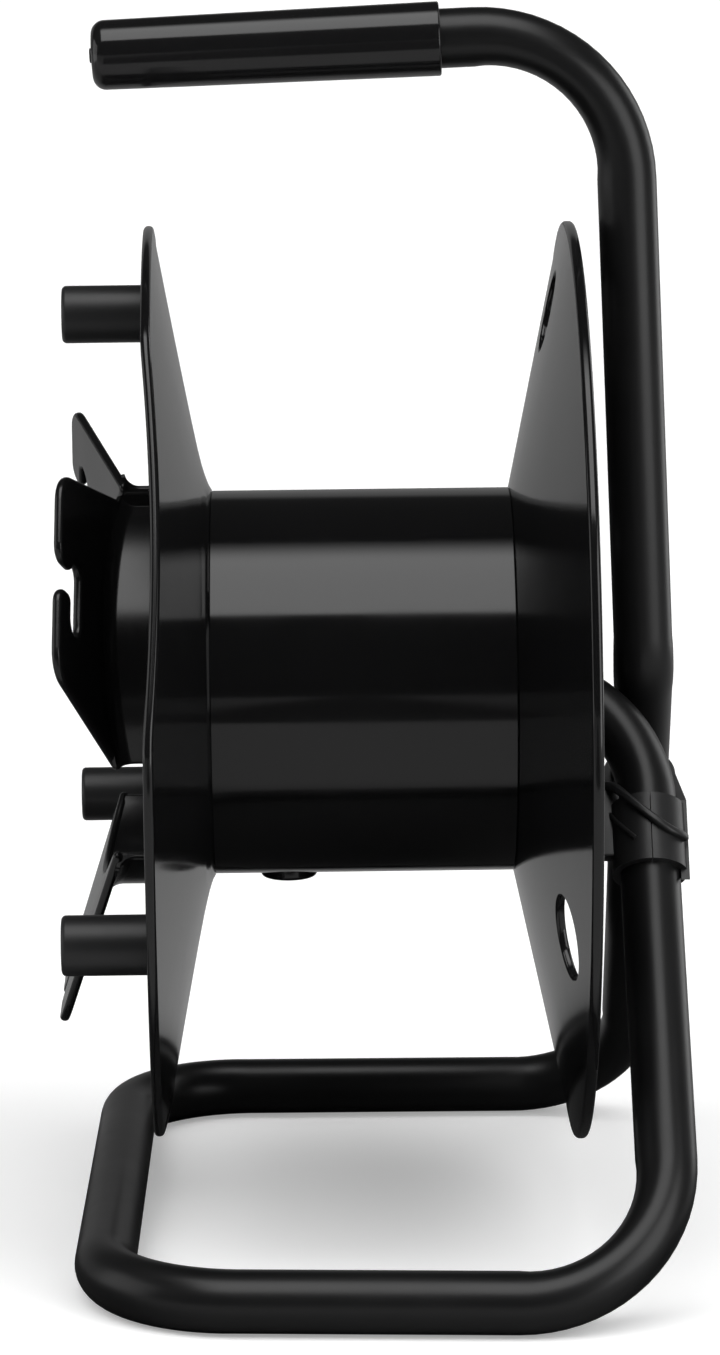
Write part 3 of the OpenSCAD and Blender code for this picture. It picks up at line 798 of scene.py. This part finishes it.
def make_leg_flange():
    work = temporary(flange_body(lambda degrees: RIM_R, cone_face, LEG_RIM_THICK))
    work = combine(work, temporary(joined(*[rib(a, cone_face) for a in RIB_ANGLES])), "UNION")
    work = combine(work, temporary(tie_holes()), "DIFFERENCE")
    work = combine(work, temporary(joined(*[flared_hole(a) for a in PEG_ANGLES])), "DIFFERENCE")
    flange = finish_mesh("leg_side_flange", taken(work), AXLE, FLANGE_PLASTIC)
    smooth_cones(flange, cone_face, 0)
    place_piece(flange, "drum", "spool_plastic", "leg_flange")


def peg_post(angle):
    """A post with a round foot on the cone."""
    low = bell_face(PEG_CIRCLE_R) + SKIN / 2 - 1.2
    outline = open_outline([
        (0, low - 1), (PEG_FOOT_R, low - 1), (PEG_FOOT_R, PEG_FOOT, 0.7), (POST_R, PEG_FOOT, 0.5),
        (POST_R, PEG_END - 2.8, 0.6), (0, PEG_END - 2.8)])
    sunk = lathe(outline, 48)
    for vert in sunk.verts:
        if vert.co.z < low:
            vert.co.z = bell_face(PEG_CIRCLE_R + vert.co.x) + SKIN / 2
    return moved(sunk, at_angle(angle) @ Matrix.Translation((PEG_CIRCLE_R, 0, 0)))


def hook_boss(angle):
    bosses = []
    for turn in (-HOOK_SCREW_ANGLE, HOOK_SCREW_ANGLE):
        outline = rounded([
            (SCREW_HOLE_R, SPIGOT_END, 0.2), (4, SPIGOT_END, 0.6), (4, 49), (SCREW_HOLE_R, 49)])
        place = at_angle(angle + turn) @ Matrix.Translation((HOOK_SCREW_R, 0, 0))
        bosses.append(moved(lathe(outline, 32), place))
    return joined(*bosses)


def make_free_flange():
    work = temporary(flange_body(rim_of_free_flange, bell_face, OPEN_RIM_THICK))
    holes = [moved(rod(SCREW_HOLE_R, BARREL_HALF - 8, WALL_OUT + 3, 24),
                   at_angle(a + turn) @ Matrix.Translation((HOOK_SCREW_R, 0, 0)))
             for a in HOOK_ANGLES for turn in (-HOOK_SCREW_ANGLE, HOOK_SCREW_ANGLE)]
    work = combine(work, temporary(joined(*holes)), "DIFFERENCE")
    work = combine(work, temporary(tie_holes()), "DIFFERENCE")
    work = combine(work, temporary(joined(*[rib(a, bell_face) for a in RIB_ANGLES])), "UNION")
    work = combine(work, temporary(joined(*[peg_post(a) for a in PEG_ANGLES])), "UNION")
    work = combine(work, temporary(joined(*[hook_boss(a) for a in HOOK_ANGLES])), "UNION")
    shape = leaning(taken(work), Matrix(), *LEAN_RANGE, False)
    flange = finish_mesh("open_side_flange", shape, AXLE @ FREE_END, FLANGE_PLASTIC)
    smooth_cones(flange, bell_face, LEAN)
    place_piece(flange, "drum", "spool_plastic", "free_flange")


def make_barrel():
    inner = BARREL_R - BARREL_WALL
    end = BARREL_HALF - 0.03
    section = rounded([
        (inner, -end, 0.3), (BARREL_R, -end, 0.5), (BARREL_R, end, 0.5), (inner, end, 0.3)])
    work = temporary(lathe(section, 192))
    stem = moved(rod(BUTTON_STEM_R + 0.05, BARREL_R - 12, BARREL_R + 12, 32), BUTTON_PLACE)
    work = combine(work, temporary(stem), "DIFFERENCE")
    barrel = finish_mesh("spool_barrel", taken(work), AXLE, SPOOL_PLASTIC)
    place_piece(barrel, "drum", "spool_plastic", "barrel")


BUTTON_ALONG = -24.5
BUTTON_R = 9.2
BUTTON_PROUD = 2.6
BUTTON_STEM_R = 5.5
BUTTON_PLACE = (at_angle(180) @ Matrix.Translation((0, 0, BUTTON_ALONG))
                @ Matrix.Rotation(math.pi / 2, 4, "Y"))


def make_button():
    top = BARREL_R + BUTTON_PROUD
    outline = open_outline([
        (0, BARREL_R - 6), (BUTTON_STEM_R, BARREL_R - 6, 0.8), (BUTTON_STEM_R, BARREL_R - 0.2, 0.2),
        (BUTTON_R - 0.2, BARREL_R - 0.6, 0.3), (BUTTON_R, top, 1.3), (0, top)])
    button = finish_mesh("round_anchor_button", lathe(outline, 64), AXLE @ BUTTON_PLACE, SPOOL_PLASTIC)
    even_normals(button)
    place_piece(button, "drum", "spool_plastic", "anchor_button")


def make_hub_cap():
    radius = 20
    wall = 2
    end = WALL_OUT + 11
    outline = open_outline([
        (0, end), (radius, end, 3), (radius + 0.2, WALL_OUT + 0.05, 0.4),
        (radius - wall, WALL_OUT + 0.05, 0.3),
        (radius - wall, end - wall, 1.5), (0, end - wall)])
    cap = finish_mesh("round_hub_cap", lathe(outline, 96), AXLE @ FREE_END, SPOOL_PLASTIC)
    even_normals(cap)
    place_piece(cap, "drum", "spool_plastic", "hub_cap")


def make_pegs():
    bore = POST_R + 0.05
    for number, angle in enumerate(PEG_ANGLES, 1):
        outline = open_outline([
            (0, PEG_END), (PEG_R, PEG_END, 1.5), (PEG_R, PEG_FOOT + 0.05, 0.5),
            (bore, PEG_FOOT + 0.05, 0.2),
            (bore, PEG_END - 2.8), (0, PEG_END - 2.8)])
        place = at_angle(angle) @ Matrix.Translation((PEG_CIRCLE_R, 0, 0))
        shape = leaning(lathe(outline, 72), place, *LEAN_RANGE, False)
        peg = finish_mesh(f"peg_sleeve_{number}", shape, AXLE @ FREE_END @ place, PEG_PLASTIC)
        even_normals(peg)
        place_piece(peg, "drum", "moulded_plastic", f"winding_peg_{number}")


# ---------------------------------------------------------------- hooks

HOOK_IN_R = HOOK_WALL_R - HOOK_WALL
HOOK_EDGE = 1.35             # rounding of the plate's edges
INNER_HALF_ANGLE = 38.5      # half of the arc on the plate's inner side
ROOT_IN = -17.6              # corner where the plate's sides meet the wall's ends
ROOT_HALF = 45.0
SLOT_IN = 26.5               # the slot's sides, out from the wall
SLOT_OUT = 35.5
SLOT_NEAR = -7.4             # the slot's ends, along the spool
SLOT_FAR = 15.5
MOUTH_NEAR = -4.2            # the mouth's sides, along the spool
MOUTH_FAR = 4


def hook_plate():
    """The leaning plate, in the spool's axes for a hook at local X."""
    lean_cos = math.cos(HOOK_LEAN)
    inner = []
    for i in range(21):
        a = math.radians(INNER_HALF_ANGLE * (1 - i / 10))
        inner.append(((HOOK_IN_R * math.cos(a) - HOOK_IN_R) / lean_cos, HOOK_IN_R * math.sin(a)))
    outline = rounded([
        (ROOT_IN, -ROOT_HALF, 2.5),
        (HOOK_REACH, -HOOK_TIP_HALF, 10),
        (HOOK_REACH, MOUTH_NEAR, 6), (SLOT_OUT - 1, MOUTH_NEAR, 1.5),
        (SLOT_OUT - 1, SLOT_NEAR, 1.5), (SLOT_IN, SLOT_NEAR, 4),
        (SLOT_IN, SLOT_FAR, 4.4), (SLOT_OUT, SLOT_FAR, 4.4),
        (SLOT_OUT, MOUTH_FAR, 3), (HOOK_REACH, MOUTH_FAR, 5),
        (HOOK_REACH, HOOK_TIP_HALF, 10),
        (ROOT_IN, ROOT_HALF, 2.5)] + inner)
    lean = Matrix.Translation((HOOK_IN_R, 0, HOOK_NECK)) @ Matrix.Rotation(-HOOK_LEAN, 4, "Y")
    return moved(slab(outline, 0, HOOK_WALL, HOOK_EDGE, 5), lean)


def hook_wall():
    """The curved wall with a hollow rounding under the plate."""
    fillet = 4.0
    sunk = 0.06
    rise = math.tan(HOOK_LEAN)
    ends = []
    for i in range(5):
        a = math.pi / 2 * i / 4
        back = math.degrees(HOOK_EDGE * (1 - math.cos(a)) / HOOK_WALL_R)
        ends.append((HOOK_HALF_ANGLE - back, HOOK_EDGE * (1 - math.sin(a))))
    middle = [(HOOK_HALF_ANGLE * (1 - 2 * i / 40), 0.0) for i in range(2, 39)]
    columns = ends + middle + [(-angle, inset) for angle, inset in reversed(ends)]
    rings = []
    for angle, inset in columns:
        a = math.radians(angle)
        outer = HOOK_WALL_R - inset
        inner = HOOK_IN_R + inset
        slope = rise * math.cos(a)

        def under(r):
            return HOOK_NECK + (r * math.cos(a) - HOOK_IN_R) * rise

        section = [(inner, WALL_OUT + 0.05), (outer, WALL_OUT + 0.05)]
        for i in range(7):
            b = math.pi / 2 * i / 6
            r = outer + fillet * (1 - math.cos(b))
            plate = under(outer + fillet) + sunk + slope * (r - outer - fillet)
            section.append((r, plate - fillet * (1 - math.sin(b))))
        section.append((outer + fillet - 0.3, under(outer + fillet - 0.3) + 1.2))
        section.append((inner, under(inner) + 1.2))
        rings.append([(r * math.cos(a), r * math.sin(a), s) for r, s in section])
    return loft(rings, True)


def hook_tab():
    """The screwed foot inside the curved wall."""
    inner = HOOK_TAB_IN_R
    outer = HOOK_IN_R + 1
    half = math.radians(HOOK_TAB_HALF_ANGLE)
    points = []
    for i in range(25):
        a = -half + 2 * half * i / 24
        points.append(Vector((outer * math.cos(a), outer * math.sin(a))))
    for i in range(25):
        a = half - 2 * half * i / 24
        points.append(Vector((inner * math.cos(a), inner * math.sin(a))))
    return slab(points, WALL_OUT + 0.05, WALL_OUT + HOOK_TAB, 0.5, 3)


def make_hooks():
    work = combine(temporary(hook_wall()), temporary(hook_tab()), "UNION")
    work = combine(work, temporary(hook_plate()), "UNION")
    screws = []
    for turn in (-HOOK_SCREW_ANGLE, HOOK_SCREW_ANGLE):
        place = Matrix.Rotation(math.radians(turn), 4, "Z") @ Matrix.Translation((HOOK_SCREW_R, 0, 0))
        screws.append(moved(rod(SCREW_HOLE_R, WALL_OUT - 3, WALL_OUT + 8, 24), place))
    work = combine(work, temporary(joined(*screws)), "DIFFERENCE")
    shape = taken(work)
    for number, angle in enumerate(HOOK_ANGLES, 1):
        place = at_angle(angle)
        leant = leaning(shape.copy(), place, WALL_OUT, HOOK_NECK, True, HOOK_DROOP)
        hook = finish_mesh(f"petal_hook_{number}", leant, AXLE @ FREE_END @ place, HOOK_PLASTIC)
        even_normals(hook)
        place_piece(hook, "drum", "moulded_plastic", f"hose_hook_{number}")
    shape.free()


# ---------------------------------------------------------------- ribs of the leg clamp

# drawn round the front leg: X is the world's, Y points to the leg's back and Z up the leg
FRONT_LEG = (TUBE_CORNERS[7] - TUBE_CORNERS[6]).normalized()
FRONT_LEG_BACK = FRONT_LEG.cross(Vector((1, 0, 0))).normalized()
CLAMP_MIDDLE = TUBE_CORNERS[7] - FRONT_LEG * 60.5
CLAMP_PLACE = TO_ORIGIN @ Matrix.Translation(CLAMP_MIDDLE) @ Matrix(
    (FRONT_LEG_BACK.cross(FRONT_LEG), FRONT_LEG_BACK, FRONT_LEG)).transposed().to_4x4()
COLLAR_R = 11.9
WING_CORNERS = ((-15.4, -5.5), (-8, -5.5), (-8, 16), (-15.4, 20.4))
LIP_DROP = 21.5              # how far the lip comes down as it wraps round the collar


def lip_height(angle):
    """Height of the lip on the collar at an angle, 0 being the leg's front."""
    return LIP_DROP * (1 - eased(angle, -95, 40)) - 1


def strut_height(angle):
    """Height of the thinner rib below the lip."""
    return 12 - 15.4 * (angle + 90) / 66


def wrapped_rib(start, end, height, proud, half):
    """A rounded rib round the collar from one angle to another, 0 being the leg's front."""
    root = -1.2
    soft = 0.7 * half
    section = rounded([(root, -half), (proud, -half, soft), (proud, half, soft), (root, half)])
    steps = 30
    rings = []
    for i in range(steps + 1):
        angle = start + (end - start) * i / steps
        a = math.radians(angle)
        climb = (height(angle + 1) - height(angle - 1)) / (2 * math.radians(1))
        out = Vector((math.sin(a), -math.cos(a), 0))
        run = Vector((COLLAR_R * math.cos(a), COLLAR_R * math.sin(a), climb)).normalized()
        up = out.cross(run)
        if up.z < 0:
            up = -up
        middle = out * COLLAR_R + Vector((0, 0, height(angle)))
        rings.append([middle + out * p.x + up * p.y for p in map(Vector, section)])
    bm = loft(rings, True)
    bmesh.ops.recalc_face_normals(bm, faces=bm.faces)
    return bm


def make_clamp_ribs():
    """The lip and rib wrapped round the front collar, and the wing beside it."""
    wing = slab([Vector(p) for p in WING_CORNERS], -1.6, 3, 0.7)
    upright = Matrix.Rotation(math.pi / 2, 4, "X")
    work = temporary(moved(wing, upright))
    work = combine(work, temporary(wrapped_rib(-97, 62, lip_height, 1.9, 1.3)), "UNION")
    work = combine(work, temporary(wrapped_rib(-92, -24, strut_height, 0.8, 0.7)), "UNION")
    ribs = finish_mesh("clamp_ribs", taken(work), CLAMP_PLACE, CLAMP_PLASTIC)
    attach(ribs, "frame")


# ---------------------------------------------------------------- small hardware keeps its CAD shape


def dress_kept_nodes():
    for names, material in (
            (("bush_free_end", "bush_leg_end"), NYLON),
            (("axle_plug",), PEG_PLASTIC),
            (("clamp_inner", "clamp_outer"), CLAMP_PLASTIC),
            (("axle_screw", "axle_washer", "axle_stop_ring", "hook_screws", "tie_bolts", "tie_nuts",
              "clamp_screw", "clamp_nut"), ZINC)):
        for name in names:
            for place in frame["nodes"][name].material_slots:
                place.material = material


make_camera()
studio_world()
studio_lights()
make_floor()
make_frame_tube()
make_grip()
make_barrel()
make_leg_flange()
make_free_flange()
make_button()
make_hub_cap()
make_pegs()
make_hooks()
make_clamp_ribs()
dress_kept_nodes()

bpy.context.scene.view_settings.view_transform = "Standard"
